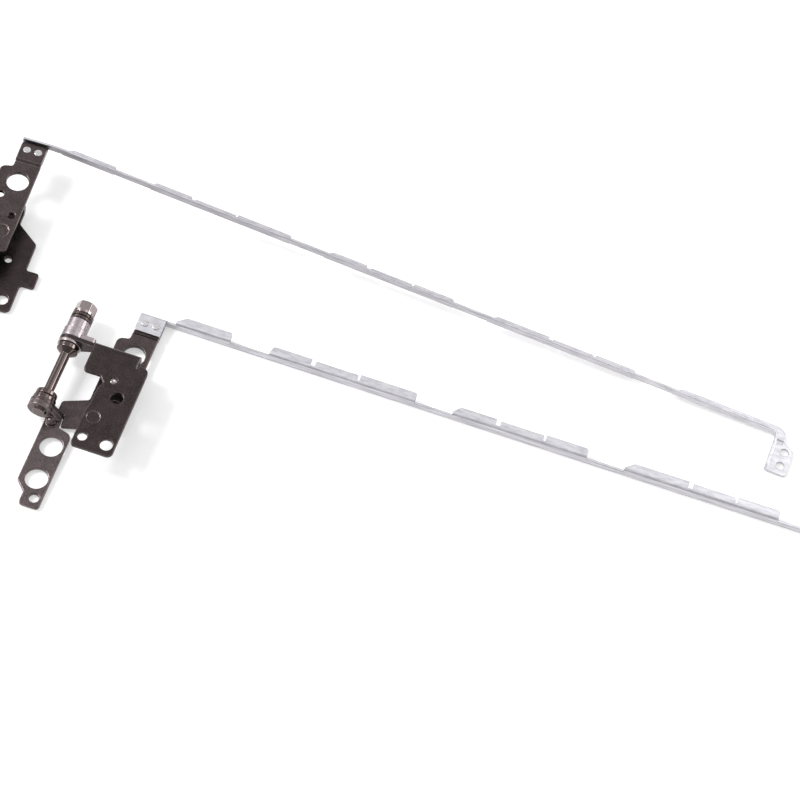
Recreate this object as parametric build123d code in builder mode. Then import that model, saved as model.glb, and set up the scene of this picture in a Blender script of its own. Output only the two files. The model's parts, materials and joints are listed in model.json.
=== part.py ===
"""Laptop hinge pair: two friction hinges of opposite hand, each with a folded screen rail.

Every piece is modelled once in the hinge's own frame: X runs along the rail to its foot, Y along the
shaft to its nut, Z from the shaft axis to the base plate. One copy lies on the table as it is and a
mirrored copy lies beside it. Sizes are in millimetres.
"""

import os

from build123d import *

# Sheet and bends
bracket_sheet = 1.2
bracket_bend = 1.5          # outside radius of a bend in the bracket sheet
rail_sheet = 0.6
rail_bend = 0.9             # outside radius of a bend in the rail sheet
plate_gap = 3.0             # shaft axis to the inner face of the base plate and of the lid plate
edge_round = 0.22           # rolled edge that stamping and plating leave on a bracket
turned_round = 0.2          # broken edge on what is turned
tight_corner = 0.4
small_corner = 0.8
plain_corner = 1.0
broad_corner = 1.6

# Fits
running_gap = 0.05          # radial gap of what turns on the shaft
face_gap = 0.03             # gap between faces that turn on each other
key_gap = 0.02              # gap round the shaft's flats and tenon
rivet_gap = 0.02            # gap round a rivet, and from the lid bracket's tab to the rail's bend

# Shaft, from the riveted end to the nut end
tenon_radius = 1.6
tenon_flat = 1.2            # shaft axis to a flat of the tenon
tenon_head_radius = 2.0
tenon_head = 0.6
spacer_radius = 3.1
spacer_thickness = 1.3
groove_radius = 2.3
groove_width = 0.25
collar_radius = 2.85
collar_width = 1.4
neck_radius = 1.35
neck_length = 12.2
cone_length = 1.2
flange_radius = 2.85
flange_width = 1.4
journal_radius = 1.75
key_radius = 1.6
key_flat = 1.25             # shaft axis to a flat under the springs
thread_radius = 1.25
thread_stand_out = 0.35     # thread past the nut

# Friction stack, in the order it is threaded on
thrust_washer_radius = 3.2
thrust_washer_thickness = 0.7
friction_bush_radius = 3.2
friction_bush_length = 2.8
friction_lug_reach = 6.2    # shaft axis to the lug's tip
friction_lug_low = -0.4
friction_lug_high = 2.3
friction_lug_width = 1.5
pressure_bush_radius = 2.95
pressure_bush_length = 2.9
spring_count = 4
spring_radius = 2.95
spring_bore_radius = 1.7
spring_pitch = 0.5
spring_cone = 0.15
nut_flats = 5.0
nut_flange_radius = 2.95
nut_flange = 0.9
nut_height = 2.9
nut_chamfer = 0.45          # how far the corners' chamfer runs down the flats
nut_face_radius = 2.1

# Base bracket: a plate above the shaft with a flange bent down into the knuckle
knuckle_radius = 3.2
base_lobe_left = 6.8
base_lobe_bottom = -4.75
base_flange_right = 19.2
base_flange_low = 0.9       # lower edge of the flange, above the shaft axis
base_flange_toe = 8.5       # where that edge starts to fall to the knuckle
base_relief_width = 0.6
base_relief_bottom = 0.3
base_relief_round = 0.24
base_shoulder = 1.2
base_left = 11.6
base_waist = 12.1
base_waist_low = -16.0
base_waist_high = -13.0
base_notch_low = -8.2
base_notch_floor = -6.4
base_notch_depth = 13.0
locating_dimple = (14.3, -16.7)
locating_dimple_radius = 1.75
pilot_hole = (15.3, -5.2)
pilot_hole_radius = 1.0
screw_hole_radius = 1.65
half_shear = 0.3            # how far a half-pierced disc is pushed out of its plate
shear_step = 0.1            # how much smaller the disc is than its hollow, in radius

near_base_right = 22.6
near_base_bottom = -26.0
near_screw_holes = [(17.8, -9.5), (20.2, -23.0)]
near_locating_hole = (13.7, -22.8)
near_locating_hole_radius = 1.25

far_base_right = 25.4
far_base_bottom = -27.6
far_base_neck = -0.2        # where the right side leaves the flange's end
far_base_shoulder = -5.1
far_tab_right = 29.1
far_tab_top = -13.7
far_tab_bottom = -18.5
far_screw_holes = [(14.2, -24.3), (22.4, -24.3)]
far_locating_hole = (20.0, -12.0)
far_locating_hole_radius = 0.95

# Lid bracket: a plate below the shaft, a link to its ear and a joggled tab under the rail
lid_left = 10.0
lid_right = 20.0
lid_bottom = -14.4          # lower right corner
lid_heel = (6.0, -18.5)     # lower left corner, beside the ears
lid_tab_left = 13.0
lid_tab_lead = 1.4          # start of the tab's joggle to the rail's pad
lid_neck_drop = 1.7         # straight side of the tab, down to its neck
lid_shoulder_drop = 0.7     # neck down to the plate's upper left corner
joggle_run = 0.7
link_left = 3.6
link_top_left = -11.3
link_top_right = -8.6
ear_right = 5.6             # right end of both ears, where they meet their bends
ear_radius = 3.3
ear_shoulder = (1.9, 2.7)   # where the round of an ear meets its sloping edge
lid_window_across = 15.8
lid_window_drop = 6.2       # start of the tab's joggle down to the window's centre
lid_window_radius = 2.95
lid_small_holes = [(-3.0, -5.2), (2.0, -11.0)]   # from the window's centre
lid_small_hole_radius = 1.0
lid_dimple = (16.8, -8.4)
lid_dimple_radius = 2.0

# Lid arm: a second stamping on the same tenon, with the boss holes of the lid
arm_left = 1.5
arm_right = 9.5
arm_shoulder = -18.9        # where the plate starts to widen beside its bend
arm_step = -36.2
arm_tip_left = 4.2
arm_tip_top = -38.9
arm_end = -42.4
boss_holes = [(5.9, -24.6), (5.9, -34.4)]
boss_hole_radius = 2.95
arm_small_hole = (7.4, -39.8)
arm_small_hole_radius = 1.3
arm_dome_place = 3.4        # along the bend, the dome that stiffens it
arm_dome_radius = 1.5
arm_dome_stand = 0.45       # centre of the dome from the two faces that it joins

# Rail: pad, web, row of tabs and foot, folded from one strip
web_outer = 21.2            # outer face of the web, along the shaft
web_depth = 2.7             # pad's upper face to the web's free edge
pad_depth = 5.8             # outer face of the web to the pad's free edge
tab_width = 2.15            # outer face of the web to a tab's free edge
rail_neck = 2.0             # pad's right side to the straight strip
strip_length = 204.9
tab_spans = [(0.5, 15.5), (26.3, 66.3), (76.5, 112.9), (123.0, 164.3)]   # from the strip's start
tab_slants = [2.4, 0.6, 1.7, 2.4]   # how far each tab's head end leans
slot_pairs = [(37.4, 50.2), (88.0, 100.9), (140.0, 152.6)]   # wide and narrow slot, from the strip's start
wide_slot = 1.2
narrow_slot = 0.6
slot_land_step = 0.3        # how much narrower a tab is between its slots
corner_tab_lead = 175.3     # strip's start to the tab that runs round the corner
corner_tab_slant = 2.4
corner_radius = 2.1
foot_length = 11.8
foot_flange_width = 5.3
foot_flange_length = 9.0
foot_slot_width = 1.2
foot_slot_length = 1.7
foot_hole_radius = 1.15
foot_hole_inset = 3.2       # web's outer face to the holes
foot_hole_first = 2.7       # foot's end to the nearer hole
foot_hole_pitch = 4.3

# Rivets that hold the rail to the lid bracket
rivet_inset = 3.2           # outer face of the web to the rivets
rivet_first = 2.0           # pad's left side to the first rivet
rivet_pitch = 3.1
rivet_radius = 0.8
rivet_head_radius = 1.05
rivet_head = 0.22
rivet_tail = 0.11
rivet_slope = 35            # side of a rivet's head, in degrees from the rivet's axis

# Where the second hinge lies on the table, from the first one's shaft, and the bend in its rail's neck
far_shift_x = -46.3
far_shift_y = 35.2
far_turn = 3.5
far_neck_bend = -6.4        # degrees, from the pad's line to the strip's
far_neck_extra = 1.4        # how much longer the bent neck is

# Levels and stations worked out from the sizes above
plate_outer = plate_gap + bracket_sheet
web_inner = web_outer - rail_sheet
pad_top = -plate_gap
pad_bottom = pad_top - rail_sheet
web_top = pad_top - rail_bend
web_low = pad_top - web_depth
foot_end = web_outer - foot_length
tab_edge = web_outer + tab_width
tab_root = web_inner + rail_bend

pad_left = lid_tab_left
pad_right = lid_right
neck_end = pad_right + rail_neck
corner_tab_start = neck_end + corner_tab_lead
rail_end = neck_end + strip_length
foot_root = rail_end - rail_sheet + rail_bend
pad_front = web_outer - pad_depth
rivet_line = web_outer - rivet_inset
rivet_places = [(pad_left + rivet_first, rivet_line), (pad_left + rivet_first + rivet_pitch, rivet_line)]
lid_tab_start = pad_front - lid_tab_lead
lid_neck = lid_tab_start - lid_neck_drop
lid_top = lid_neck - lid_shoulder_drop
lid_window_up = lid_tab_start - lid_window_drop
lid_window = (lid_window_across, lid_window_up)
lid_small_places = [(lid_window_across + across, lid_window_up + up) for across, up in lid_small_holes]

flange_end = cone_length + flange_width
ear_inner = flange_end + thrust_washer_thickness
ear_outer = ear_inner + bracket_sheet
friction_bush_end = ear_outer + friction_bush_length
pressure_bush_start = friction_bush_end + face_gap
springs_start = pressure_bush_start + pressure_bush_length
nut_start = springs_start + spring_count * spring_pitch
nut_end = nut_start + nut_flange + nut_height
shaft_end = nut_end + thread_stand_out
collar_end = -neck_length - collar_width
spacer_start = collar_end - groove_width
lid_ear_start = spacer_start - spacer_thickness
lid_ear_end = lid_ear_start - bracket_sheet
arm_ear_end = lid_ear_end - bracket_sheet
base_bend_line = ear_outer - bracket_bend
lid_bend_line = lid_ear_end + bracket_bend
arm_bend_line = lid_ear_end - bracket_bend

pieces = {}
row = []


def outline(*corners):
    """Face inside straight edges, with each corner given as x, y and its radius."""
    points = [(x, y) for x, y, radius in corners]
    radii = [radius for x, y, radius in corners]
    with BuildLine() as border:
        FilletPolyline(*points, radius=radii, close=True)
    make_face(border.edges())


def bend(plane, length, centre, outside, sheet, first_angle):
    """Quarter turn of sheet, drawn across the bend and extruded along it."""
    with BuildSketch(plane) as section:
        with BuildLine():
            outer = CenterArc(centre, outside, first_angle, 90)
            inner = CenterArc(centre, outside - sheet, first_angle, 90)
            Line(outer @ 0, inner @ 0)
            Line(outer @ 1, inner @ 1)
        make_face()
    extrude(section.sketch, amount=length)


def drill(level, depth, places, radius):
    """Round holes through a plate, upwards from a level."""
    with BuildSketch(Plane.XY.offset(level)) as holes:
        with Locations(*places):
            Circle(radius)
    extrude(holes.sketch, amount=depth, mode=Mode.SUBTRACT)


def half_pierce(level, push, place, radius):
    """Disc pushed part way out of a plate whose two faces lie at level and one sheet above it."""
    hollow_level = level if push > 0 else level + bracket_sheet
    boss_level = level + bracket_sheet if push > 0 else level
    with BuildSketch(Plane.XY.offset(hollow_level)) as hollow:
        with Locations(place):
            Circle(radius)
    extrude(hollow.sketch, amount=push, mode=Mode.SUBTRACT)
    with BuildSketch(Plane.XY.offset(boss_level)) as boss:
        with Locations(place):
            Circle(radius - shear_step)
    extrude(boss.sketch, amount=push)


def roll_edges(plate, *seams):
    """Round both faces' edges of a plate, but not on a seam that a bend or tab goes on from."""
    plate_faces = plate.faces().filter_by(Plane.XY)
    sharp = [
        edge
        for edge in plate_faces.edges()
        if all(abs(edge.center().Y - seam) > edge_round for seam in seams) or edge.geom_type != GeomType.LINE
    ]
    fillet(sharp, edge_round)


def keyed_bore(station, depth, radius, flat):
    """Hole with two flats, from a station on the shaft towards the riveted end."""
    with BuildSketch(Plane.XZ.offset(-station)) as bore:
        Circle(radius + key_gap)
        Rectangle(4 * radius, 2 * (flat + key_gap), mode=Mode.INTERSECT)
    extrude(bore.sketch, amount=depth, mode=Mode.SUBTRACT)


def shaft_flats(station, length, radius, flat):
    """Two flats milled on the shaft, from a station towards the riveted end."""
    with BuildSketch(Plane.XZ.offset(-station)) as sides:
        Rectangle(4 * radius, 4 * radius)
        Rectangle(4 * radius, 2 * flat, mode=Mode.SUBTRACT)
    extrude(sides.sketch, amount=length, mode=Mode.SUBTRACT)


def ring(start, end, radius, bore):
    """Washer or bush round the shaft between two stations."""
    with BuildSketch(Plane.XZ.offset(-end)) as section:
        Circle(radius)
        Circle(bore, mode=Mode.SUBTRACT)
    extrude(section.sketch, amount=end - start)


def base_left_side(bottom):
    """Corners of a base plate's left side, from its lower corner up to its bend."""
    return [
        (base_left, bottom, plain_corner),
        (base_left, base_waist_low, broad_corner),
        (base_waist, base_waist_high, broad_corner),
        (base_waist, base_notch_low, tight_corner),
        (base_notch_depth, base_notch_floor, tight_corner),
        (base_left, base_lobe_bottom, tight_corner),
        (base_lobe_left, base_lobe_bottom, plain_corner),
        (base_lobe_left, base_bend_line, 0),
    ]


def near_base_right_side():
    """Corners of the plain base plate's right side, from the bend past the relief notch beside it."""
    relief_right = base_flange_right + base_relief_width
    return [
        (base_flange_right, base_bend_line, 0),
        (base_flange_right, base_relief_bottom, base_relief_round),
        (relief_right, base_relief_bottom, base_relief_round),
        (relief_right, base_shoulder, tight_corner),
        (near_base_right, base_shoulder, broad_corner),
        (near_base_right, near_base_bottom, broad_corner),
    ]


def far_base_right_side():
    """Corners of the wide base plate's right side, from the bend past its shoulder and locating tab."""
    return [
        (base_flange_right, base_bend_line, 0),
        (base_flange_right, far_base_neck, broad_corner),
        (far_base_right, far_base_shoulder, plain_corner),
        (far_base_right, far_tab_top, small_corner),
        (far_tab_right, far_tab_top, small_corner),
        (far_tab_right, far_tab_bottom, small_corner),
        (far_base_right, far_tab_bottom, small_corner),
        (far_base_right, far_base_bottom, broad_corner),
    ]


def base_bracket(right_side, bottom, screw_holes, locating_hole, locating_hole_radius):
    """Base plate, its flange and the knuckle that the shaft turns in."""
    with BuildPart() as bracket:
        with BuildSketch(Plane.XY.offset(plate_gap)):
            outline(*base_left_side(bottom), *right_side)
        extrude(amount=bracket_sheet)
        drill(plate_gap, bracket_sheet, screw_holes, screw_hole_radius)
        drill(plate_gap, bracket_sheet, [locating_hole], locating_hole_radius)
        drill(plate_gap, bracket_sheet, [pilot_hole], pilot_hole_radius)
        roll_edges(bracket, base_bend_line)
        flange_length = base_flange_right - base_lobe_left
        centre = (base_bend_line, plate_outer - bracket_bend)
        bend(Plane.YZ.offset(base_lobe_left), flange_length, centre, bracket_bend, bracket_sheet, 0)
        flange_top = plate_outer - bracket_bend
        with BuildSketch(Plane.XZ.offset(-ear_outer)):
            with BuildLine():
                Polyline(
                    (0, knuckle_radius),
                    (base_lobe_left, flange_top),
                    (base_flange_right, flange_top),
                    (base_flange_right, base_flange_low),
                    (base_flange_toe, base_flange_low),
                    (0, -knuckle_radius),
                    close=True,
                )
            make_face()
            Circle(knuckle_radius)
            Circle(journal_radius + running_gap, mode=Mode.SUBTRACT)
        extrude(amount=bracket_sheet)
        half_pierce(plate_gap, -half_shear, locating_dimple, locating_dimple_radius)
    return bracket


near_base = base_bracket(
    near_base_right_side(), near_base_bottom, near_screw_holes, near_locating_hole, near_locating_hole_radius
)
far_base = base_bracket(
    far_base_right_side(), far_base_bottom, far_screw_holes, far_locating_hole, far_locating_hole_radius
)

# Lid bracket
with BuildPart() as lid_bracket:
    with BuildSketch(Plane.XY.offset(-plate_outer)):
        outline(
            (lid_right, lid_tab_start, 0),
            (lid_right, lid_bottom, plain_corner),
            (*lid_heel, tight_corner),
            (ear_right, lid_bend_line, 0),
            (link_left, lid_bend_line, 0),
            (link_left, link_top_left, plain_corner),
            (lid_left, link_top_right, plain_corner),
            (lid_left, lid_top, broad_corner),
            (lid_tab_left, lid_neck, small_corner),
            (lid_tab_left, lid_tab_start, 0),
        )
    extrude(amount=bracket_sheet)
    drill(-plate_outer, bracket_sheet, [lid_window], lid_window_radius)
    drill(-plate_outer, bracket_sheet, lid_small_places, lid_small_hole_radius)
    roll_edges(lid_bracket, lid_bend_line, lid_tab_start)
    tab_end = web_inner - rail_bend + rail_sheet - rivet_gap
    joggle_end = lid_tab_start + joggle_run
    with BuildSketch(Plane.YZ.offset(lid_tab_left)):
        with BuildLine():
            Polyline(
                (lid_tab_start, -plate_outer),
                (joggle_end, -plate_outer - rail_sheet),
                (tab_end, -plate_outer - rail_sheet),
                (tab_end, pad_bottom),
                (joggle_end, pad_bottom),
                (lid_tab_start, -plate_gap),
                close=True,
            )
        make_face()
    extrude(amount=lid_right - lid_tab_left)
    fillet(lid_bracket.edges().filter_by(Axis.Z).group_by(Axis.Y)[-1], small_corner)
    bend_centre = (lid_bend_line, bracket_bend - plate_outer)
    ear_foot = bracket_bend - plate_outer
    ear_bend_length = ear_right - link_left
    bend(Plane.YZ.offset(link_left), ear_bend_length, bend_centre, bracket_bend, bracket_sheet, 180)
    with BuildSketch(Plane.XZ.offset(-lid_ear_start)):
        with BuildLine():
            Polyline(
                (0, -ear_radius),
                (link_left, ear_foot),
                (ear_right, ear_foot),
                ear_shoulder,
                close=True,
            )
        make_face()
        Circle(ear_radius)
    extrude(amount=bracket_sheet)
    keyed_bore(lid_ear_start, bracket_sheet, tenon_radius, tenon_flat)
    drill(-plate_outer - rail_sheet, bracket_sheet, rivet_places, rivet_radius + rivet_gap)
    half_pierce(-plate_outer, half_shear, lid_dimple, lid_dimple_radius)
pieces["lid_bracket"] = lid_bracket.part

# Lid arm
with BuildPart() as lid_arm:
    with BuildSketch(Plane.XY.offset(-plate_outer)):
        outline(
            (arm_left, arm_bend_line, 0),
            (arm_left, arm_step, small_corner),
            (arm_tip_left, arm_tip_top, small_corner),
            (arm_tip_left, arm_end, small_corner),
            (arm_right, arm_end, plain_corner),
            (arm_right, arm_shoulder - plain_corner, broad_corner),
            (ear_right, arm_shoulder, tight_corner),
            (ear_right, arm_bend_line, 0),
        )
    extrude(amount=bracket_sheet)
    drill(-plate_outer, bracket_sheet, boss_holes, boss_hole_radius)
    drill(-plate_outer, bracket_sheet, [arm_small_hole], arm_small_hole_radius)
    roll_edges(lid_arm, arm_bend_line)
    bend_centre = (arm_bend_line, bracket_bend - plate_outer)
    arm_bend_length = ear_right - arm_left
    bend(Plane.YZ.offset(arm_left), arm_bend_length, bend_centre, bracket_bend, bracket_sheet, 270)
    with BuildSketch(Plane.XZ.offset(-lid_ear_end)):
        with BuildLine():
            Polyline(
                (0, 0),
                (arm_left, ear_foot),
                (ear_right, ear_foot),
                ear_shoulder,
                close=True,
            )
        make_face()
        Circle(ear_radius)
    extrude(amount=bracket_sheet)
    with Locations((arm_dome_place, arm_ear_end - arm_dome_stand, arm_dome_stand - plate_gap)):
        Sphere(arm_dome_radius)
    keyed_bore(lid_ear_end, bracket_sheet, tenon_radius, tenon_flat)
pieces["lid_arm"] = lid_arm.part

# Hinge shaft
with BuildPart() as hinge_shaft:
    with BuildSketch(Plane.YZ):
        with BuildLine():
            Polyline(
                (arm_ear_end - tenon_head, 0),
                (arm_ear_end - tenon_head, tenon_radius),
                (arm_ear_end, tenon_head_radius),
                (arm_ear_end, tenon_radius),
                (spacer_start, tenon_radius),
                (spacer_start, groove_radius),
                (collar_end, groove_radius),
                (collar_end, collar_radius),
                (-neck_length, collar_radius),
                (-neck_length, neck_radius),
                (0, neck_radius),
                (cone_length, flange_radius),
                (flange_end, flange_radius),
                (flange_end, journal_radius),
                (friction_bush_end, journal_radius),
                (friction_bush_end, key_radius),
                (nut_start, key_radius),
                (nut_start, thread_radius),
                (shaft_end, thread_radius),
                (shaft_end, 0),
                close=True,
            )
        make_face()
    revolve(axis=Axis.Y)
    rings = hinge_shaft.edges().filter_by(GeomType.CIRCLE)
    fillet(rings.filter_by(lambda edge: edge.radius > groove_radius), turned_round)
    shaft_flats(spacer_start, spacer_start - arm_ear_end, tenon_radius, tenon_flat)
    shaft_flats(nut_start, nut_start - friction_bush_end, key_radius, key_flat)
pieces["hinge_shaft"] = hinge_shaft.part

# Spacer between the shaft's collar and the ears, keyed to the tenon
with BuildPart() as lid_spacer:
    with BuildSketch(Plane.XZ.offset(-spacer_start)):
        Circle(spacer_radius)
    extrude(amount=spacer_thickness)
    fillet(lid_spacer.edges().filter_by(GeomType.CIRCLE), turned_round)
    keyed_bore(spacer_start, spacer_thickness, tenon_radius, tenon_flat)
pieces["lid_spacer"] = lid_spacer.part

# Washer between the shaft's flange and the knuckle
with BuildPart() as thrust_washer:
    ring(flange_end + face_gap, ear_inner, thrust_washer_radius, journal_radius + running_gap)
pieces["thrust_washer"] = thrust_washer.part

# Bush that stands still against the knuckle, held by its lug
with BuildPart() as friction_bush:
    ring(ear_outer, friction_bush_end, friction_bush_radius, journal_radius + running_gap)
    fillet(friction_bush.edges().group_by(Axis.Y)[0].sort_by(SortBy.RADIUS)[-1], turned_round)
    lug_root = (journal_radius + friction_bush_radius) / 2
    with BuildSketch(Plane.XZ.offset(-ear_outer - friction_lug_width)):
        outline(
            (lug_root, friction_lug_low, 0),
            (friction_lug_reach, friction_lug_low, tight_corner),
            (friction_lug_reach, friction_lug_high, small_corner),
            (lug_root, friction_lug_high, 0),
        )
    extrude(amount=friction_lug_width)
pieces["friction_bush"] = friction_bush.part

# Bush that turns with the shaft and carries the springs' thrust
with BuildPart() as pressure_bush:
    with BuildSketch(Plane.XZ.offset(-springs_start)):
        Circle(pressure_bush_radius)
    extrude(amount=pressure_bush_length)
    fillet(pressure_bush.edges().filter_by(GeomType.CIRCLE), turned_round)
    keyed_bore(springs_start, pressure_bush_length, key_radius, key_flat)
pieces["pressure_bush"] = pressure_bush.part

# Disc springs, stacked face to face and back to back
for number in range(spring_count):
    start = springs_start + number * spring_pitch
    lean = spring_cone if number % 2 else 0
    thickness = spring_pitch - spring_cone
    inner_side = start + lean
    outer_side = start + spring_cone - lean
    with BuildPart() as disc_spring:
        with BuildSketch(Plane.YZ):
            with BuildLine():
                Polyline(
                    (inner_side, spring_bore_radius),
                    (inner_side + thickness, spring_bore_radius),
                    (outer_side + thickness, spring_radius),
                    (outer_side, spring_radius),
                    close=True,
                )
            make_face()
        revolve(axis=Axis.Y)
    pieces[f"disc_spring_{number + 1}"] = disc_spring.part

# Lock nut with a round flange
with BuildPart() as lock_nut:
    with BuildSketch(Plane.XZ.offset(-nut_end)):
        RegularPolygon(nut_flats / 2, 6, major_radius=False)
    extrude(amount=nut_height)
    with BuildSketch(Plane.YZ):
        with BuildLine():
            Polyline(
                (nut_start, 0),
                (nut_start, nut_flange_radius),
                (nut_end - nut_chamfer, nut_flange_radius),
                (nut_end, nut_face_radius),
                (nut_end, 0),
                close=True,
            )
        make_face()
    revolve(axis=Axis.Y, mode=Mode.INTERSECT)
    with BuildSketch(Plane.XZ.offset(-nut_start - nut_flange)):
        Circle(nut_flange_radius)
    extrude(amount=nut_flange)
    fillet(lock_nut.edges().group_by(Axis.Y)[0], turned_round)
    with BuildSketch(Plane.XZ.offset(-nut_end)):
        Circle(thread_radius + key_gap)
    extrude(amount=nut_end - nut_start, mode=Mode.SUBTRACT)
pieces["lock_nut"] = lock_nut.part

# Pad of the lid rail, with the web's end that it hangs on
with BuildPart() as rail_pad:
    with BuildSketch(Plane.XY.offset(web_low)):
        with Locations((pad_left, web_inner)):
            Rectangle(pad_right - pad_left, rail_sheet, align=(Align.MIN, Align.MIN))
    extrude(amount=web_top - web_low)
    pad_length = pad_right - pad_left
    pad_bend = (web_outer - rail_bend, web_top)
    bend(Plane.YZ.offset(pad_left), pad_length, pad_bend, rail_bend, rail_sheet, 0)
    with BuildSketch(Plane.XY.offset(pad_bottom)):
        outline(
            (pad_left, web_outer - rail_bend, 0),
            (pad_left, pad_front, tight_corner),
            (pad_right, pad_front, tight_corner),
            (pad_right, web_outer - rail_bend, 0),
        )
        with Locations(*rivet_places):
            Circle(rivet_radius + rivet_gap, mode=Mode.SUBTRACT)
    extrude(amount=rail_sheet)

# Straight strip of the lid rail, with its tabs, corner and foot
with BuildPart() as rail_strip:
    with BuildSketch(Plane.XY.offset(web_low)):
        outline(
            (neck_end, web_inner, 0),
            (neck_end, web_outer, 0),
            (rail_end, web_outer, corner_radius),
            (rail_end, foot_end, 0),
            (rail_end - rail_sheet, foot_end, 0),
            (rail_end - rail_sheet, web_inner, corner_radius - rail_sheet),
        )
    extrude(amount=web_top - web_low)
    tab_bend = (tab_root, web_top)
    for (lead, reach), slant in zip(tab_spans, tab_slants):
        start = neck_end + lead
        end = neck_end + reach
        bend(Plane.YZ.offset(start), end - start, tab_bend, rail_bend, rail_sheet, 90)
        with BuildSketch(Plane.XY.offset(pad_bottom)):
            outline(
                (start, tab_root, 0),
                (start + slant, tab_edge, small_corner),
                (end, tab_edge, small_corner),
                (end, tab_root, 0),
            )
        extrude(amount=rail_sheet)
    for wide, narrow in slot_pairs:
        first = neck_end + wide
        second = neck_end + narrow
        with BuildSketch(Plane.XY.offset(pad_bottom)):
            with Locations((first, tab_root)):
                Rectangle(wide_slot, tab_width, align=(Align.MIN, Align.MIN))
            with Locations((second, tab_root)):
                Rectangle(narrow_slot, tab_width, align=(Align.MIN, Align.MIN))
            with Locations((first, tab_edge - slot_land_step)):
                Rectangle(second - first, tab_width, align=(Align.MIN, Align.MIN))
        extrude(amount=rail_sheet, mode=Mode.SUBTRACT)
    corner_u = rail_end - corner_radius
    corner_v = web_outer - corner_radius
    bend(Plane.YZ.offset(corner_tab_start), corner_u - corner_tab_start, tab_bend, rail_bend, rail_sheet, 90)
    foot_bend = (foot_root, web_top)
    bend(Plane.XZ.offset(-corner_v), corner_v - foot_end, foot_bend, rail_bend, rail_sheet, 90)
    with BuildSketch(Plane.YZ.offset(corner_u)):
        with BuildLine():
            outer_turn = CenterArc(tab_bend, rail_bend, 90, 90)
            inner_turn = CenterArc(tab_bend, rail_bend - rail_sheet, 90, 90)
            Line(outer_turn @ 0, inner_turn @ 0)
            Line(outer_turn @ 1, inner_turn @ 1)
        make_face()
    revolve(axis=Axis((corner_u, corner_v, 0), (0, 0, -1)), revolution_arc=90)
    turn_radius = tab_root - corner_v
    foot_flange_top = foot_end + foot_flange_length
    foot_edge = rail_end + foot_flange_width
    with BuildSketch(Plane.XY.offset(pad_bottom)):
        outline(
            (corner_tab_start, tab_root, 0),
            (corner_tab_start + corner_tab_slant, tab_edge, small_corner),
            (rail_end + tab_width, tab_edge, corner_radius + small_corner),
            (rail_end + tab_width, foot_flange_top + plain_corner, small_corner),
            (foot_edge, foot_flange_top - plain_corner, plain_corner),
            (foot_edge, foot_end, small_corner),
            (foot_root, foot_end, 0),
            (foot_root, tab_root, turn_radius),
        )
        with Locations((foot_root, foot_flange_top)):
            Rectangle(foot_slot_length, foot_slot_width, align=(Align.MIN, Align.MIN), mode=Mode.SUBTRACT)
        with Locations((rail_end + foot_hole_inset, foot_end + foot_hole_first)):
            with Locations((0, 0), (0, foot_hole_pitch)):
                Circle(foot_hole_radius, mode=Mode.SUBTRACT)
    extrude(amount=rail_sheet)


def strip_place(turn, extra):
    """Where a strip lies that turns about its start and stands off by a longer neck."""
    middle = (web_inner + web_outer) / 2
    return Location((neck_end, middle, 0), (0, 0, turn)) * Location((extra - neck_end, -middle, 0))


def folded_rail(place):
    """Rail with its strip at a place, and the neck that joins it to the pad."""
    inner = (place * Location((neck_end, web_inner, 0))).position
    outer = (place * Location((neck_end, web_outer, 0))).position
    with BuildPart() as rail:
        add(rail_pad.part)
        add(place * rail_strip.part)
        with BuildSketch(Plane.XY.offset(web_low)):
            outline(
                (pad_right, web_inner, 0),
                (pad_right, web_outer, 0),
                (outer.X, outer.Y, 0),
                (inner.X, inner.Y, 0),
            )
        extrude(amount=web_top - web_low)
    return rail.part


near_strip = strip_place(0, 0)
far_strip = strip_place(far_neck_bend, far_neck_extra)

# Rivets, headed on the pad and almost flush under the tab
with BuildPart() as rail_rivets:
    with BuildSketch(Plane.XY.offset(-plate_outer - rail_sheet)):
        with Locations(*rivet_places):
            Circle(rivet_radius)
    extrude(amount=bracket_sheet + rail_sheet)
    with BuildSketch(Plane.XY.offset(pad_top)):
        with Locations(*rivet_places):
            Circle(rivet_head_radius)
    extrude(amount=rivet_head, taper=rivet_slope)
    with BuildSketch(Plane.XY.offset(-plate_outer - rail_sheet)):
        with Locations(*rivet_places):
            Circle(rivet_head_radius)
    extrude(amount=-rivet_tail, taper=rivet_slope)
pieces["rail_rivets"] = rail_rivets.part


def resting_plane(first, second, third):
    """Table under three points that touch it, with its origin straight below the shaft."""
    corner = Vector(*first)
    normal = (Vector(*second) - corner).cross(Vector(*third) - corner).normalized()
    if normal.Z < 0:
        normal = -normal
    along = Vector(1, 0, 0) - normal * normal.X
    return Plane(origin=normal * normal.dot(corner), x_dir=along, z_dir=normal)


# The near hinge lies on its rail and the tip of its arm, the far one on its base plate and its foot
near_table = resting_plane(
    (arm_tip_left, arm_end, -plate_outer),
    (pad_left, web_inner, web_low),
    (rail_end, foot_end, web_low),
)
far_table = resting_plane(
    (far_tab_right, far_tab_top, -plate_outer),
    (far_tab_right, far_tab_bottom, -plate_outer),
    (far_strip * Location((foot_edge, foot_flange_top - plain_corner, plate_gap))).position,
)
near_place = near_table.location.inverse()
far_place = Location((far_shift_x, far_shift_y, 0), (0, 0, far_turn)) * far_table.location.inverse()

near_pieces = {"base_bracket": near_base.part, "lid_rail": folded_rail(near_strip), **pieces}
far_pieces = {"base_bracket": far_base.part, "lid_rail": folded_rail(far_strip), **pieces}
for name, piece in near_pieces.items():
    laid = near_place * piece
    laid.label = f"near_{name}"
    row.append(laid)
for name, piece in far_pieces.items():
    laid = far_place * mirror(piece, about=Plane.XY)
    laid.label = f"far_{name}"
    row.append(laid)

# The origin is under the middle of the pair, on the table
boxes = [piece.bounding_box() for piece in row]
middle_x = (min(box.min.X for box in boxes) + max(box.max.X for box in boxes)) / 2
middle_y = (min(box.min.Y for box in boxes) + max(box.max.Y for box in boxes)) / 2
table_height = min(box.min.Z for box in boxes)
to_origin = Location((-middle_x, -middle_y, -table_height))

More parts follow.
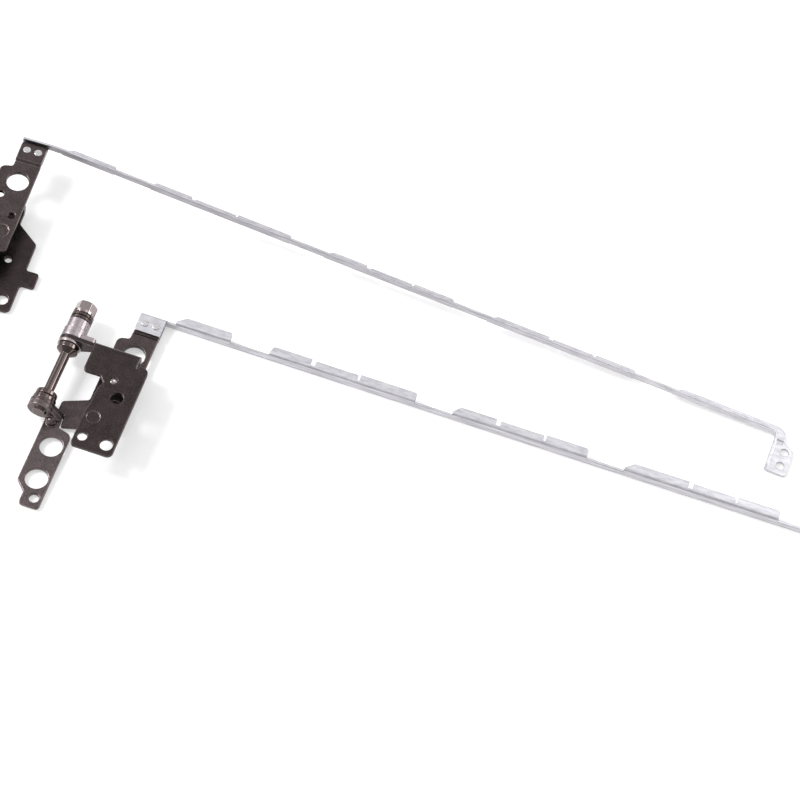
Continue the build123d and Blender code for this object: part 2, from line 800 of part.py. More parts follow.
os.makedirs("parts", exist_ok=True)
for piece in row:
    placed = to_origin * piece
    placed.label = piece.label
    export_step(placed, f"parts/{piece.label}.step")
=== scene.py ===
import json
from math import pi, radians

import bmesh
import bpy
from bpy.props import FloatProperty, FloatVectorProperty, PointerProperty
from mathutils import Matrix, Vector


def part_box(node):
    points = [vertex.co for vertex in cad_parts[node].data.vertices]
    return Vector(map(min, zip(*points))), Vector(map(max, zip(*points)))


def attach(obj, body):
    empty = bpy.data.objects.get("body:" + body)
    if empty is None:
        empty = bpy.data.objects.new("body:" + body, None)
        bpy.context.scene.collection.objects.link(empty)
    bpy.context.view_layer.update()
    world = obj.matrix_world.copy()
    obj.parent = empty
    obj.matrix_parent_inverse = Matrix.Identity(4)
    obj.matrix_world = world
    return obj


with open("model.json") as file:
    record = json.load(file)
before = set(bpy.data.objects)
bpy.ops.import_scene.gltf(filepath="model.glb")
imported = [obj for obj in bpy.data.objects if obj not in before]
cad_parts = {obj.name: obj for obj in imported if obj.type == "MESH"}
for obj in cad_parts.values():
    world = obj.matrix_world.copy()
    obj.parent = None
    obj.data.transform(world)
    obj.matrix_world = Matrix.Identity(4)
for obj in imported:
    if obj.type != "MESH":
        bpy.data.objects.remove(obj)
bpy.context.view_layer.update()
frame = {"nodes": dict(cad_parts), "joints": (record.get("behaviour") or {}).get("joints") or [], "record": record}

bl_info = {
    "name": "Laptop hinge pair",
    "version": (1, 0, 0),
    "blender": (4, 5, 0),
    "location": "View3D > Sidebar > Hinges",
    "description": "Finishes, thread ends and a white table for a pair of laptop hinges",
    "category": "Object",
}

SIDES = ("near", "far")
MM = 0.001
SPRING_COUNT = 4

# Roughness of the turned and marked metals, from 0 for a mirror to 1 for chalk
SHAFT_ROUGHNESS = 0.12
BUSH_ROUGHNESS = 0.3
SPRING_ROUGHNESS = 0.26
NUT_ROUGHNESS = 0.12
RIVET_ROUGHNESS = 0.3

# Depth of the relief in each metal's face
CLOUD_DEPTH = 0.06 * MM
GRAIN_DEPTH = 0.02 * MM
LINE_DEPTH = 0.02 * MM
MARK_DEPTH = 0.03 * MM
RUB_DEPTH = 0.01 * MM

# How patterns are drawn out: rings round a shaft, patches and rubbed lines along a strip
RING_SCALE = (0.02, 1, 0.02)
PATCH_SCALE = (0.35, 1, 1)
SCRATCH_SCALE = (0.05, 1, 1)

# Red, green and blue that are left where the dark plating has a faint green stain
STAIN = (0.92, 0.97, 0.95)

# How much brighter painted light makes the zinc at a strip's foot than along its first half
FOOT_PAINTED_LIGHT = 1.14

# Steps in one turn of the thread, and round a pin
THREAD_STEPS = 48
PIN_STEPS = 32

# Pin from its middle out, in shares of its radius and its dome, and its shank in shares of its radius
PIN_OUTLINE = ((0, 0.6), (0.35, 1), (0.75, 0.7), (1, 0))
PIN_SHANK = 0.9
MERGE_DISTANCE = 1e-7

# Table: half its width, how far it lies under the hinges, and the share and strength of its plain white
TABLE_REACH = 3.0
TABLE_DROP = 0.05 * MM
WHITE_SHARE = 0.3
WHITE_STRENGTH = 1.5

# Tent: where it is brightest, high up behind the hinges on the left, its least and greatest light, and the
# part of that direction over which the light grows
TENT_TOWARDS = (-0.5, 0.35, 0.79)
TENT_LIGHT = (0.36, 0.85)
TENT_SPAN = (-0.2, 0.85)

# Camera: its place in metres, and its turn, downward tilt and roll in degrees
CAMERA_PLACE = (0.047619, -0.337037, 0.567129)
CAMERA_TURN = 8.833
CAMERA_DOWN = 58.017
CAMERA_ROLL = 10.553
CAMERA_NEAREST = 0.01
SENSOR_WIDTH = 36


def colour(code):
    """Linear colour of an sRGB hex code."""
    parts = [int(code[start:start + 2], 16) / 255 for start in (1, 3, 5)]
    return [part / 12.92 if part <= 0.04045 else ((part + 0.055) / 1.055) ** 2.4 for part in parts]


def shade(name, description, code):
    """Colour that a user may change, with its default from a hex code."""
    return FloatVectorProperty(
        name=name, description=description, default=colour(code), size=3, subtype="COLOR", min=0, max=1)


def length(name, description, millimetres):
    """Length that a user may change, kept in metres."""
    return FloatProperty(
        name=name, description=description, default=millimetres * MM, unit="LENGTH", precision=6, min=1e-6)


def power(name, description, watts):
    """Lamp power that a user may change."""
    return FloatProperty(name=name, description=description, default=watts, unit="POWER", min=0)


def add_node(tree, kind, sockets=None, **settings):
    """Node with its settings, and each named socket set to a value or linked from another node's output."""
    node = tree.nodes.new(kind)
    for name, value in settings.items():
        setattr(node, name, value)
    for name, value in (sockets or {}).items():
        if isinstance(value, bpy.types.NodeSocket):
            tree.links.new(value, node.inputs[name])
        else:
            node.inputs[name].default_value = value
    return node


def new_material(name):
    """Material with a metal shader, and its node tree."""
    material = bpy.data.materials.new(name)
    material.use_nodes = True
    tree = material.node_tree
    metal = tree.nodes["Principled BSDF"]
    metal.inputs["Metallic"].default_value = 1.0
    return material, tree, metal


def spread(tree, value, low, high, start=0.3, end=0.7):
    """Values from low to high, for a noise that mostly runs from 0.3 to 0.7."""
    return add_node(tree, "ShaderNodeMapRange", {
        "Value": value, "From Min": start, "From Max": end, "To Min": low, "To Max": high}).outputs["Result"]


def rounded_edge(tree, width):
    """Normal that rolls over the edges, and the share of the surface that lies on one."""
    rolled = add_node(tree, "ShaderNodeBevel", {"Radius": width}, samples=6).outputs["Normal"]
    surface = add_node(tree, "ShaderNodeNewGeometry").outputs["Normal"]
    agree = add_node(tree, "ShaderNodeVectorMath", {0: rolled, 1: surface}, operation="DOT_PRODUCT")
    # Cosines: within 8 degrees of the face counts as flat, and beyond 37 degrees as edge
    return rolled, spread(tree, agree.outputs["Value"], 0.0, 1.0, 0.99, 0.8)


def finish_metal(tree, metal, tone, rough, height, depth, normal):
    """Link a metal's colour and roughness, and a relief of the given depth over its normal."""
    relief = add_node(tree, "ShaderNodeBump", {
        "Height": height, "Strength": 0.2, "Distance": depth, "Normal": normal})
    tree.links.new(tone, metal.inputs["Base Color"])
    tree.links.new(rough, metal.inputs["Roughness"])
    tree.links.new(relief.outputs["Normal"], metal.inputs["Normal"])


def shaft_line(side):
    """Point on a hinge's shaft axis and the direction from its riveted end to its nut."""
    joint = next(item for item in frame["joints"] if item["name"] == f"{side}_hinge")
    return Vector(joint["pos_m"]), -Vector(joint["axis"]).normalized()


def shaft_mapping(tree, side):
    """Object coordinates turned and moved so that Y runs along a hinge's shaft from a point on its axis."""
    point, along = shaft_line(side)
    turn = along.rotation_difference(Vector((0, 1, 0)))
    place = add_node(tree, "ShaderNodeTexCoord")
    return add_node(tree, "ShaderNodeMapping", {
        "Vector": place.outputs["Object"],
        "Location": -(turn @ point),
        "Rotation": turn.to_euler(),
    })


def body_of(node):
    """Name of the body that a CAD node moves with."""
    bodies = frame["record"]["behaviour"]["bodies"]
    return next(body for body, members in bodies.items() if node in members)


def reach(node, point, along):
    """How far a CAD node goes from a point in a direction."""
    return max((vertex.co - point).dot(along) for vertex in frame["nodes"][node].data.vertices)


def girth(node, point, along, start):
    """Radius about a shaft's axis of the part of a CAD node that lies beyond a place along it."""
    places = [vertex.co - point for vertex in frame["nodes"][node].data.vertices]
    return max((place - along * place.dot(along)).length for place in places if place.dot(along) > start)


def base_frame(side):
    """Directions along the rail and up to the base plate of a hinge."""
    point, along = shaft_line(side)
    mount = next(item for item in frame["record"]["mounts"] if item["name"] == f"{side}_base_screws")
    up = Vector(mount["axis"]).normalized()
    across = along.cross(up)
    if (Vector(mount["pos_m"]) - point).dot(across) < 0:
        across = -across
    return across, up


def dress(material, names):
    """Give CAD nodes their material."""
    for name in names:
        slots = frame["nodes"][name].data.materials
        slots.clear()
        slots.append(material)


class BracketFinish(bpy.types.PropertyGroup):
    """Finish of the pressed brackets and arms."""

    base_colour: shade("Base brackets", "Colour of the dark nickel on the base brackets", "#433a3b")
    lid_colour: shade("Lid brackets", "Colour of the dark nickel on the lid brackets", "#53494a")
    arm_colour: shade("Lid arms", "Colour of the dark nickel on the lid arms", "#655a5b")
    # Painted highlight: the pale edge colour stands in for light caught on the rolled edges, and the width sets
    # how far the rolled edge and its highlight reach
    edge_highlight_colour: shade("Worn edge", "Colour where the edges are rubbed bright", "#c4b3ac")
    edge_width: length("Edge width", "How far the rubbed edge reaches into a face", 0.35)
    grain: length(
        "Grain", "Grain of the rolled sheet, drawn coarser than the real 0.1 mm so that it shows", 0.35)
    cloud: length("Clouding", "Size of the patches in the plating", 2.5)


class ShaftFinish(bpy.types.PropertyGroup):
    """Finish of the turned shafts."""

    shaft_colour: shade("Shaft", "Colour of the dark nickel on the turned shaft", "#5f5553")
    # Painted highlight: the pale rim colour stands in for light caught on the rolled rims, and the width sets how
    # far the rolled rim and its highlight reach
    rim_highlight_colour: shade("Rims", "Colour of the rims rubbed bright", "#cbc3c1")
    rim_width: length("Rim width", "How far a rubbed rim reaches into a face", 0.12)
    line_spacing: length(
        "Turning lines", "Lathe lines, drawn coarser than the real 0.05 mm so that they show", 0.3)


class StackFinish(bpy.types.PropertyGroup):
    """Finish of the washers, bushes, springs and nuts on the shafts."""

    bush_colour: shade("Bushes", "Colour of the plain turned steel", "#a49b9e")
    spring_colour: shade("Springs", "Colour of the blackened springs", "#4a413e")
    nut_colour: shade("Nuts", "Colour of the bright nickel on nuts and pins", "#9c9090")
    rivet_colour: shade("Rivets", "Colour of the zinc on the rivets", "#d2d0d3")
    # Painted highlight: the pale rim colour stands in for light caught on the rolled rims, and the widths set how
    # far the rolled rims and their highlight reach
    rim_highlight_colour: shade("Rims", "Colour of the rims rubbed bright", "#e6dedb")
    rim_width: length("Rim width", "How far a rubbed rim reaches into a face", 0.14)
    spring_rim: length("Spring rims", "How far a rubbed rim reaches into a spring's face", 0.05)
    line_spacing: length(
        "Turning lines", "Lathe lines, drawn coarser than the real 0.05 mm so that they show", 0.3)
    nut_grain: length("Nut marks", "Spacing of the wrench and barrel marks on nuts and rivets", 0.5)


class RailFinish(bpy.types.PropertyGroup):
    """Finish of the folded rails."""

    zinc_colour: shade("Zinc", "Colour of the bright zinc on the strip", "#dad9de")
    dull_colour: shade("Dull patches", "Colour where the zinc has dulled", "#c3c2c9")
    # Painted shade: the strips' upright sides take darker colours than the flats, darkest at the head end and
    # lighter at the foot
    near_side_shade_colour: shade(
        "Near sides", "Colour of the near strip's sides at its head end, duller than its flats", "#c0bfc4")
    far_side_shade_colour: shade(
        "Far sides", "Colour of the far strip's sides at its head end, duller still", "#939196")
    foot_side_shade_colour: shade("Foot sides", "Colour of both strips' sides at the foot", "#cccbcf")
    patch: length("Patches", "Size of the dull patches", 0.9)
    scratch: length("Scratches", "Spacing of the rubbed lines along the strip", 0.4)
    cut_colour: shade("Cut edges", "Colour of the bare steel along the sheared edges", "#7f7a80")
    cut_width: length("Edge width", "How far the sheared edges reach into a face", 0.22)


class ThreadSizes(bpy.types.PropertyGroup):
    """Thread at the shafts' nut ends."""

    pitch: length("Pitch", "Distance from one turn of the thread to the next", 0.45)
    depth: length("Depth", "How far the crest stands over the plain shaft", 0.1)


class PinSizes(bpy.types.PropertyGroup):
    """Bright pin in each base bracket's pilot hole."""

    radius: length("Radius", "Pin that fills the pilot hole", 0.98)
    along: length("Along the rail", "Shaft axis to the pin", 15.3)
    back: length(
        "Back from the knuckle", "Knuckle's inner face to the pin, towards the shaft's riveted end", 8.5)
    level: length("Level", "Shaft axis to the pin's rim", 4.0)
    dome: length("Dome", "How far the pin's middle stands over its rim", 0.35)


class StageLook(bpy.types.PropertyGroup):
    """Table, lamps and camera."""

    floor_colour: shade("Table", "Colour of the white table", "#f4f3f4")
    key_power: power("Key lamp", "Power of the large soft lamp", 9.0)
    left_power: power("Left strip", "Power of the strip lamp on the left", 0.6)
    right_power: power("Right strip", "Power of the strip lamp on the right", 1.6)
    box_power: power("Soft box", "Power of the soft box over the feet", 0.55)
    lens: FloatProperty(
        name="Lens", description="Focal length on a 36 mm sensor", default=115.728, min=1,
        subtype="DISTANCE_CAMERA")


def pressed_metal(name, tint, look):
    """Plated sheet metal with faint clouds, a fine grain and a painted highlight along its edges."""
    material, tree, metal = new_material(name)
    place = add_node(tree, "ShaderNodeTexCoord").outputs["Object"]
    cloud = add_node(tree, "ShaderNodeTexNoise", {"Vector": place, "Scale": 1 / look.cloud, "Detail": 3.0})
    grain = add_node(tree, "ShaderNodeTexNoise", {"Vector": place, "Scale": 1 / look.grain, "Detail": 2.0})
    speckle = grain.outputs["Fac"]
    clouds = cloud.outputs["Fac"]
    greenish = [part * share for part, share in zip(tint, STAIN)]
    stained = add_node(tree, "ShaderNodeMix", {
        0: spread(tree, clouds, 0.0, 1.0), 6: [*tint, 1], 7: [*greenish, 1]}, data_type="RGBA")
    tone = add_node(tree, "ShaderNodeMath", {
        0: spread(tree, clouds, 1.15, 0.88), 1: spread(tree, speckle, 0.78, 1.22)}, operation="MULTIPLY")
    plate = add_node(tree, "ShaderNodeVectorMath", {
        0: stained.outputs[2], "Scale": tone.outputs["Value"]}, operation="SCALE")
    rolled, edge = rounded_edge(tree, look.edge_width)
    normal = add_node(tree, "ShaderNodeBump", {
        "Height": clouds, "Strength": 0.3, "Distance": CLOUD_DEPTH, "Normal": rolled}).outputs["Normal"]
    # Painted highlight along the edges, broken up by the grain
    painted_edge_highlight = add_node(tree, "ShaderNodeMath", {0: edge, 1: spread(tree, speckle, 0.3, 1.0)}, operation="MULTIPLY")
    face = add_node(tree, "ShaderNodeMix", {
        0: painted_edge_highlight.outputs["Value"], 6: plate.outputs["Vector"], 7: [*look.edge_highlight_colour, 1]}, data_type="RGBA")
    finish_metal(tree, metal, face.outputs[2], spread(tree, speckle, 0.26, 0.38), speckle, GRAIN_DEPTH, normal)
    return material


class HINGE_OT_dress_brackets(bpy.types.Operator):
    """Dark nickel plate on the base brackets, lid brackets and arms"""

    bl_idname = "hinge.dress_brackets"
    bl_label = "Dress brackets"

    def execute(self, context):
        look = context.scene.bracket_finish
        # Black nickel on pressed steel: dark warm grey with a satin gleam, faint clouds and a painted highlight
        # along the edges
        base = pressed_metal("black_nickel_base_steel", look.base_colour, look)
        dress(base, [f"{side}_base_bracket" for side in SIDES])
        # The same plating, thinner on the lid's pressings: a little paler
        lid = pressed_metal("black_nickel_lid_steel", look.lid_colour, look)
        dress(lid, [f"{side}_lid_bracket" for side in SIDES])
        # Thinnest on the arms: mid grey
        arm = pressed_metal("black_nickel_arm_steel", look.arm_colour, look)
        dress(arm, [f"{side}_lid_arm" for side in SIDES])
        return {"FINISHED"}


def turned_metal(name, side, tint, look, rim_width, roughness):
    """Metal with lathe lines round a hinge's shaft and a painted highlight on its rims."""
    material, tree, metal = new_material(f"{name}_{side}")
    place = shaft_mapping(tree, side).outputs["Vector"]
    rings = add_node(tree, "ShaderNodeVectorMath", {0: place, 1: RING_SCALE}, operation="MULTIPLY")
    lines = add_node(tree, "ShaderNodeTexNoise", {
        "Vector": rings.outputs["Vector"], "Scale": 1 / look.line_spacing, "Detail": 2.0}).outputs["Fac"]
    tinted = add_node(tree, "ShaderNodeVectorMath", {
        0: tint, "Scale": spread(tree, lines, 0.9, 1.1)}, operation="SCALE")
    normal, rim = rounded_edge(tree, rim_width)
    # Painted highlight on the rims
    face = add_node(tree, "ShaderNodeMix", {
        0: rim, 6: tinted.outputs["Vector"], 7: [*look.rim_highlight_colour, 1]}, data_type="RGBA")
    rough = spread(tree, lines, roughness * 0.8, roughness * 1.3)
    finish_metal(tree, metal, face.outputs[2], rough, lines, LINE_DEPTH, normal)
    return material


class HINGE_OT_dress_shafts(bpy.types.Operator):
    """Dark turned steel on the shafts and their spacers"""

    bl_idname = "hinge.dress_shafts"
    bl_label = "Dress shafts"

    def execute(self, context):
        look = context.scene.shaft_finish
        for side in SIDES:
            # Black nickel on turned steel: darker than the bushes, with sharp streaks of light along the neck
            dark = turned_metal(
                "black_nickel_turned_steel", side, look.shaft_colour, look, look.rim_width, SHAFT_ROUGHNESS)
            dress(dark, [f"{side}_hinge_shaft", f"{side}_lid_spacer"])
        return {"FINISHED"}


def marked_metal(name, tint, look, roughness):
    """Bright plate with the marks of wrench and barrel, and a painted highlight on its rims."""
    material, tree, metal = new_material(name)
    place = add_node(tree, "ShaderNodeTexCoord").outputs["Object"]
    marks = add_node(tree, "ShaderNodeTexNoise", {
        "Vector": place, "Scale": 1 / look.nut_grain, "Detail": 3.0}).outputs["Fac"]
    tinted = add_node(tree, "ShaderNodeVectorMath", {
        0: tint, "Scale": spread(tree, marks, 0.88, 1.08)}, operation="SCALE")
    normal, rim = rounded_edge(tree, look.rim_width)
    # Painted highlight on the rims
    face = add_node(tree, "ShaderNodeMix", {
        0: rim, 6: tinted.outputs["Vector"], 7: [*look.rim_highlight_colour, 1]}, data_type="RGBA")
    rough = spread(tree, marks, roughness * 0.7, roughness * 1.4)
    finish_metal(tree, metal, face.outputs[2], rough, marks, MARK_DEPTH, normal)
    return material


class HINGE_OT_dress_stacks(bpy.types.Operator):
    """Steel on the washers, bushes, springs and nuts"""

    bl_idname = "hinge.dress_stacks"
    bl_label = "Dress friction stacks"

    def execute(self, context):
        look = context.scene.stack_finish
        for side in SIDES:
            # Plain turned steel: mid grey with soft bright streaks and fine rings
            plain = turned_metal(
                "plain_turned_steel", side, look.bush_colour, look, look.rim_width, BUSH_ROUGHNESS)
            dress(plain, [f"{side}_{kind}" for kind in ("thrust_washer", "friction_bush", "pressure_bush")])
            # Blackened spring steel: near black, with a dull painted highlight on the rims
            black = turned_metal(
                "blackened_spring_steel", side, look.spring_colour, look, look.spring_rim, SPRING_ROUGHNESS)
            dress(black, [f"{side}_disc_spring_{number}" for number in range(1, SPRING_COUNT + 1)])
        # Bright nickel plate: almost a mirror, softened by wrench and barrel marks
        nickel = marked_metal("bright_nickel_plated_steel", look.nut_colour, look, NUT_ROUGHNESS)
        dress(nickel, [f"{side}_lock_nut" for side in SIDES])
        # Zinc on the rivets: pale and soft, close to the rails
        zinc = marked_metal("zinc_plated_rivet_steel", look.rivet_colour, look, RIVET_ROUGHNESS)
        dress(zinc, [f"{side}_rail_rivets" for side in SIDES])
        return {"FINISHED"}


def zinc_strip(side, head_painted_shade, look):
    """Zinc-plated strip with dull patches, rubbed lines and grey cut edges, painted shade on its upright sides and
    painted light at its foot.
    """
    material, tree, metal = new_material(f"zinc_plated_{side}_strip")
    head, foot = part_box(f"{side}_lid_rail")
    coordinates = add_node(tree, "ShaderNodeTexCoord")
    place = coordinates.outputs["Object"]
    along = add_node(tree, "ShaderNodeMapping", {"Vector": place, "Scale": PATCH_SCALE})
    patches = add_node(tree, "ShaderNodeTexNoise", {
        "Vector": along.outputs["Vector"], "Scale": 1 / look.patch, "Detail": 4.0}).outputs["Fac"]
    rubbed = add_node(tree, "ShaderNodeMapping", {"Vector": place, "Scale": SCRATCH_SCALE})
    lines = add_node(tree, "ShaderNodeTexNoise", {
        "Vector": rubbed.outputs["Vector"], "Scale": 1 / look.scratch, "Detail": 2.0}).outputs["Fac"]
    flats = add_node(tree, "ShaderNodeMix", {
        0: spread(tree, patches, 0.0, 1.0, 0.4, 0.7), 6: [*look.zinc_colour, 1], 7: [*look.dull_colour, 1]},
        data_type="RGBA")
    run = add_node(tree, "ShaderNodeSeparateXYZ", {"Vector": place}).outputs["X"]
    # Painted light: the flats grow brighter from the middle of the strip to its foot
    bright = add_node(tree, "ShaderNodeVectorMath", {
        0: flats.outputs[2], "Scale": spread(tree, run, 1.0, FOOT_PAINTED_LIGHT, (head[0] + foot[0]) / 2, foot[0])},
        operation="SCALE")
    # Painted shade on the sides, darkest at the head end and fading towards the foot
    painted_side_shade = add_node(tree, "ShaderNodeMix", {
        0: spread(tree, run, 0.0, 1.0, head[0], foot[0]), 6: [*head_painted_shade, 1], 7: [*look.foot_side_shade_colour, 1]},
        data_type="RGBA")
    sides = add_node(tree, "ShaderNodeVectorMath", {
        0: painted_side_shade.outputs[2], "Scale": spread(tree, lines, 0.72, 1.28)}, operation="SCALE")
    facing = add_node(tree, "ShaderNodeSeparateXYZ", {"Vector": coordinates.outputs["Normal"]})
    level = add_node(tree, "ShaderNodeMath", {0: facing.outputs["Z"]}, operation="ABSOLUTE")
    # Upright faces take the painted side shade, flat faces the zinc
    face = add_node(tree, "ShaderNodeMix", {
        0: spread(tree, level.outputs["Value"], 1.0, 0.0, 0.2, 0.9), 6: bright.outputs["Vector"],
        7: sides.outputs["Vector"]}, data_type="RGBA")
    normal, edge = rounded_edge(tree, look.cut_width)
    cut = add_node(tree, "ShaderNodeMix", {
        0: edge, 6: face.outputs[2], 7: [*look.cut_colour, 1]}, data_type="RGBA")
    finish_metal(tree, metal, cut.outputs[2], spread(tree, lines, 0.3, 0.46), lines, RUB_DEPTH, normal)
    return material


class HINGE_OT_dress_rails(bpy.types.Operator):
    """Bright zinc on the folded rails"""

    bl_idname = "hinge.dress_rails"
    bl_label = "Dress rails"

    def execute(self, context):
        look = context.scene.rail_finish
        # Zinc-plated strip: pale silver, dulled in small patches and rubbed in lines, with grey cut edges
        dress(zinc_strip("near", look.near_side_shade_colour, look), ["near_lid_rail"])
        # The far one's sides carry darker painted shade
        dress(zinc_strip("far", look.far_side_shade_colour, look), ["far_lid_rail"])
        return {"FINISHED"}


def add_piece(name, shape, turn, place, finished, carrier):
    """Piece of a new shape, turned and put in its place, finished as one CAD node and carried by another."""
    bmesh.ops.recalc_face_normals(shape, faces=shape.faces)
    matrix = Matrix.Translation(place) @ turn.to_matrix().to_4x4()
    bmesh.ops.transform(shape, matrix=matrix, verts=shape.verts)
    mesh = bpy.data.meshes.new(name)
    shape.to_mesh(mesh)
    shape.free()
    mesh.materials.append(frame["nodes"][finished].data.materials[0])
    piece = bpy.data.objects.new(name, mesh)
    bpy.context.scene.collection.objects.link(piece)
    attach(piece, body_of(carrier))


class HINGE_OT_thread_ends(bpy.types.Operator):
    """Ridge of the thread round each shaft's nut end"""

    bl_idname = "hinge.thread_ends"
    bl_label = "Add thread ends"

    def execute(self, context):
        sizes = context.scene.thread_sizes
        for side in SIDES:
            point, along = shaft_line(side)
            shaft = f"{side}_hinge_shaft"
            shaft_end = reach(shaft, point, along)
            nut_end = reach(f"{side}_lock_nut", point, along)
            rod = girth(shaft, point, along, nut_end)
            turns = (shaft_end - nut_end) / sizes.pitch
            ridge = bmesh.new()
            first = [ridge.verts.new(corner) for corner in (
                (rod - sizes.depth, nut_end - sizes.pitch, 0),
                (rod + sizes.depth, nut_end - sizes.pitch / 2, 0),
                (rod - sizes.depth, nut_end, 0),
            )]
            profile = [ridge.edges.new(pair) for pair in zip(first, first[1:])]
            bmesh.ops.spin(
                ridge, geom=first + profile, cent=(0, 0, 0), axis=(0, 1, 0), angle=2 * pi * turns,
                dvec=(0, sizes.pitch / THREAD_STEPS, 0), steps=round(THREAD_STEPS * turns))
            turn = Vector((0, 1, 0)).rotation_difference(along)
            add_piece(f"{side}_thread_end", ridge, turn, point, shaft, shaft)
        return {"FINISHED"}


class HINGE_OT_pilot_pins(bpy.types.Operator):
    """Domed pin in each base bracket's pilot hole"""

    bl_idname = "hinge.pilot_pins"
    bl_label = "Add pilot pins"

    def execute(self, context):
        sizes = context.scene.pin_sizes
        for side in SIDES:
            point, along = shaft_line(side)
            across, up = base_frame(side)
            centre = point + across * sizes.along - along * sizes.back
            corners = [(sizes.radius * out, 0, sizes.level + sizes.dome * high) for out, high in PIN_OUTLINE]
            corners.append((sizes.radius, 0, sizes.level - sizes.radius * PIN_SHANK))
            pin = bmesh.new()
            outline = [pin.verts.new(corner) for corner in corners]
            profile = [pin.edges.new(pair) for pair in zip(outline, outline[1:])]
            bmesh.ops.spin(
                pin, geom=outline + profile, cent=(0, 0, 0), axis=(0, 0, 1), angle=2 * pi, steps=PIN_STEPS,
                use_merge=True)
            bmesh.ops.remove_doubles(pin, verts=pin.verts, dist=MERGE_DISTANCE)
            turn = Vector((0, 0, 1)).rotation_difference(up)
            add_piece(
                f"{side}_pilot_pin", pin, turn, centre, f"{side}_lock_nut", f"{side}_base_bracket")
        return {"FINISHED"}


def white_paper(look):
    """Paper that is matt to the light, and partly plain white to the eye and in reflections."""
    # Matt white paper: takes soft shadows, and about a third of what is seen of it is plain white
    paper = bpy.data.materials.new("matt_white_paper")
    paper.use_nodes = True
    tree = paper.node_tree
    tree.nodes.clear()
    ray = add_node(tree, "ShaderNodeLightPath")
    mirrored = add_node(tree, "ShaderNodeMath", {
        0: ray.outputs["Is Camera Ray"], 1: ray.outputs["Is Glossy Ray"]}, operation="MAXIMUM")
    seen = add_node(tree, "ShaderNodeMath", {
        0: mirrored.outputs["Value"], 1: ray.outputs["Is Transmission Ray"]}, operation="MAXIMUM")
    share = add_node(tree, "ShaderNodeMath", {0: seen.outputs["Value"], 1: WHITE_SHARE}, operation="MULTIPLY")
    matt = add_node(tree, "ShaderNodeBsdfDiffuse", {"Color": [*look.floor_colour, 1]})
    white = add_node(tree, "ShaderNodeEmission", {"Color": (1, 1, 1, 1), "Strength": WHITE_STRENGTH})
    both = add_node(tree, "ShaderNodeMixShader", {
        0: share.outputs["Value"], 1: matt.outputs["BSDF"], 2: white.outputs["Emission"]})
    add_node(tree, "ShaderNodeOutputMaterial", {"Surface": both.outputs["Shader"]})
    return paper


def white_table(scene, look):
    """Wide sheet under the hinges that looks white and keeps their shadow."""
    sheet = bmesh.new()
    bmesh.ops.create_grid(sheet, x_segments=1, y_segments=1, size=TABLE_REACH)
    bmesh.ops.translate(sheet, vec=(0, 0, -TABLE_DROP), verts=sheet.verts)
    mesh = bpy.data.meshes.new("table")
    sheet.to_mesh(mesh)
    sheet.free()
    table = bpy.data.objects.new("table", mesh)
    scene.collection.objects.link(table)
    mesh.materials.append(white_paper(look))


def white_tent(scene):
    """Tent of soft light round the table, plain white where the camera sees it."""
    world = bpy.data.worlds.new("white_tent")
    world.use_nodes = True
    scene.world = world
    tree = world.node_tree
    tree.nodes.clear()
    sky = add_node(tree, "ShaderNodeTexCoord")
    towards = add_node(tree, "ShaderNodeVectorMath", {
        0: sky.outputs["Generated"], 1: TENT_TOWARDS}, operation="DOT_PRODUCT")
    level = spread(tree, towards.outputs["Value"], *TENT_LIGHT, *TENT_SPAN)
    tent = add_node(tree, "ShaderNodeBackground", {"Color": (1, 1, 1, 1), "Strength": level})
    plain = add_node(tree, "ShaderNodeBackground", {"Color": (1, 1, 1, 1), "Strength": 1.0})
    ray = add_node(tree, "ShaderNodeLightPath")
    both = add_node(tree, "ShaderNodeMixShader", {
        0: ray.outputs["Is Camera Ray"], 1: tent.outputs["Background"], 2: plain.outputs["Background"]})
    add_node(tree, "ShaderNodeOutputWorld", {"Surface": both.outputs["Shader"]})


def soft_lamps(scene, look):
    """Area lamps that face the middle of the table."""
    # Name, power, width and height, and place in metres
    lamps = (
        ("key", look.key_power, (0.3, 0.3), (-0.8, 0.03, 0.7)),
        ("left_strip", look.left_power, (0.15, 0.5), (-0.8, 0.5, 0.38)),
        ("right_strip", look.right_power, (0.15, 0.5), (0.7, 0.5, 0.45)),
        ("foot_box", look.box_power, (0.35, 0.4), (0.3, 0.46, 0.91)),
    )
    for name, watts, (width, height), place in lamps:
        lamp = bpy.data.lights.new(name, "AREA")
        lamp.energy = watts
        lamp.shape = "RECTANGLE"
        lamp.size = width
        lamp.size_y = height
        stand = bpy.data.objects.new(name, lamp)
        stand.location = place
        stand.rotation_euler = (-stand.location).to_track_quat("-Z", "Y").to_euler()
        scene.collection.objects.link(stand)


def photo_camera(scene, look):
    """Camera that sees the hinges from the photograph's angle."""
    lens = bpy.data.cameras.new("camera")
    lens.sensor_width = SENSOR_WIDTH
    lens.lens = look.lens
    lens.clip_start = CAMERA_NEAREST
    camera = bpy.data.objects.new("camera", lens)
    turn = (
        Matrix.Rotation(radians(CAMERA_TURN), 4, "Z")
        @ Matrix.Rotation(radians(90 - CAMERA_DOWN), 4, "X")
        @ Matrix.Rotation(radians(CAMERA_ROLL), 4, "Z")
    )
    camera.matrix_world = Matrix.Translation(CAMERA_PLACE) @ turn
    scene.collection.objects.link(camera)
    scene.camera = camera


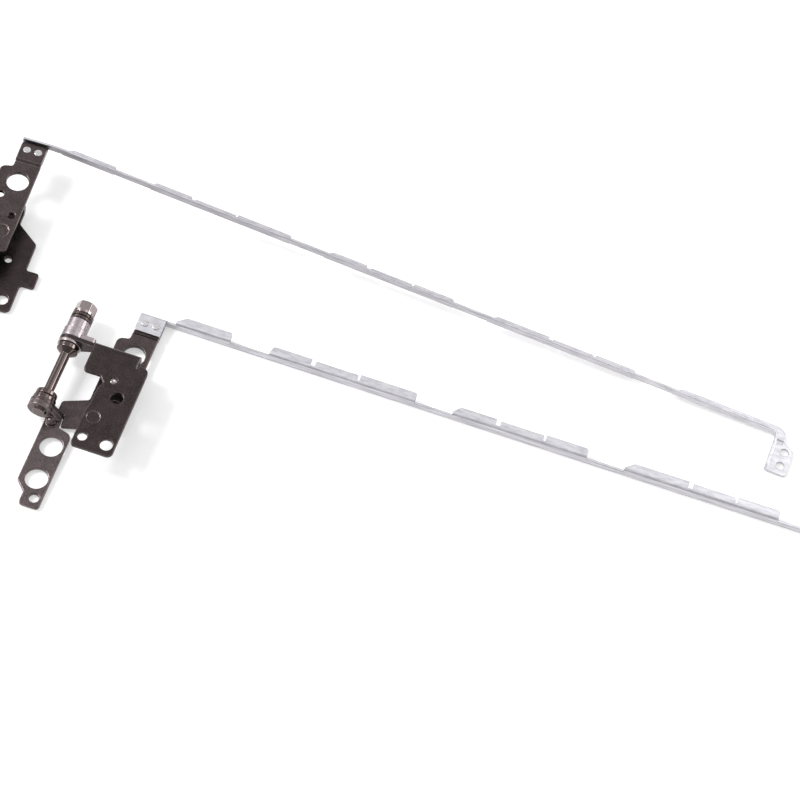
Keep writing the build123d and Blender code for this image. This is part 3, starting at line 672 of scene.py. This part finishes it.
class HINGE_OT_stage(bpy.types.Operator):
    """White table, soft lamps and the camera"""

    bl_idname = "hinge.stage"
    bl_label = "Set stage"

    def execute(self, context):
        scene = context.scene
        look = scene.stage_look
        scene.view_settings.view_transform = "Standard"
        white_table(scene, look)
        white_tent(scene)
        soft_lamps(scene, look)
        photo_camera(scene, look)
        return {"FINISHED"}


class HINGE_PT_panel(bpy.types.Panel):
    """Steps that finish the hinges"""

    bl_idname = "HINGE_PT_panel"
    bl_label = "Laptop hinge pair"
    bl_space_type = "VIEW_3D"
    bl_region_type = "UI"
    bl_category = "Hinges"

    def draw(self, context):
        for operator in OPERATORS:
            self.layout.operator(operator.bl_idname)
        for name, group in GROUPS.items():
            box = self.layout.box()
            for item in group.__annotations__:
                box.prop(getattr(context.scene, name), item)


GROUPS = {
    "bracket_finish": BracketFinish,
    "shaft_finish": ShaftFinish,
    "stack_finish": StackFinish,
    "rail_finish": RailFinish,
    "thread_sizes": ThreadSizes,
    "pin_sizes": PinSizes,
    "stage_look": StageLook,
}
OPERATORS = (
    HINGE_OT_dress_brackets,
    HINGE_OT_dress_shafts,
    HINGE_OT_dress_stacks,
    HINGE_OT_dress_rails,
    HINGE_OT_thread_ends,
    HINGE_OT_pilot_pins,
    HINGE_OT_stage,
)


def register():
    """Add the settings, the steps and the panel."""
    for name, group in GROUPS.items():
        bpy.utils.register_class(group)
        setattr(bpy.types.Scene, name, PointerProperty(type=group))
    for item in (*OPERATORS, HINGE_PT_panel):
        bpy.utils.register_class(item)


def unregister():
    """Take the panel, the steps and the settings away again."""
    for item in reversed((*OPERATORS, HINGE_PT_panel)):
        bpy.utils.unregister_class(item)
    for name, group in GROUPS.items():
        delattr(bpy.types.Scene, name)
        bpy.utils.unregister_class(group)


def main():
    """Run the steps in order."""
    register()
    bpy.ops.hinge.dress_brackets()
    bpy.ops.hinge.dress_shafts()
    bpy.ops.hinge.dress_stacks()
    bpy.ops.hinge.dress_rails()
    bpy.ops.hinge.thread_ends()
    bpy.ops.hinge.pilot_pins()
    bpy.ops.hinge.stage()


if __name__ == "__main__":
    main()
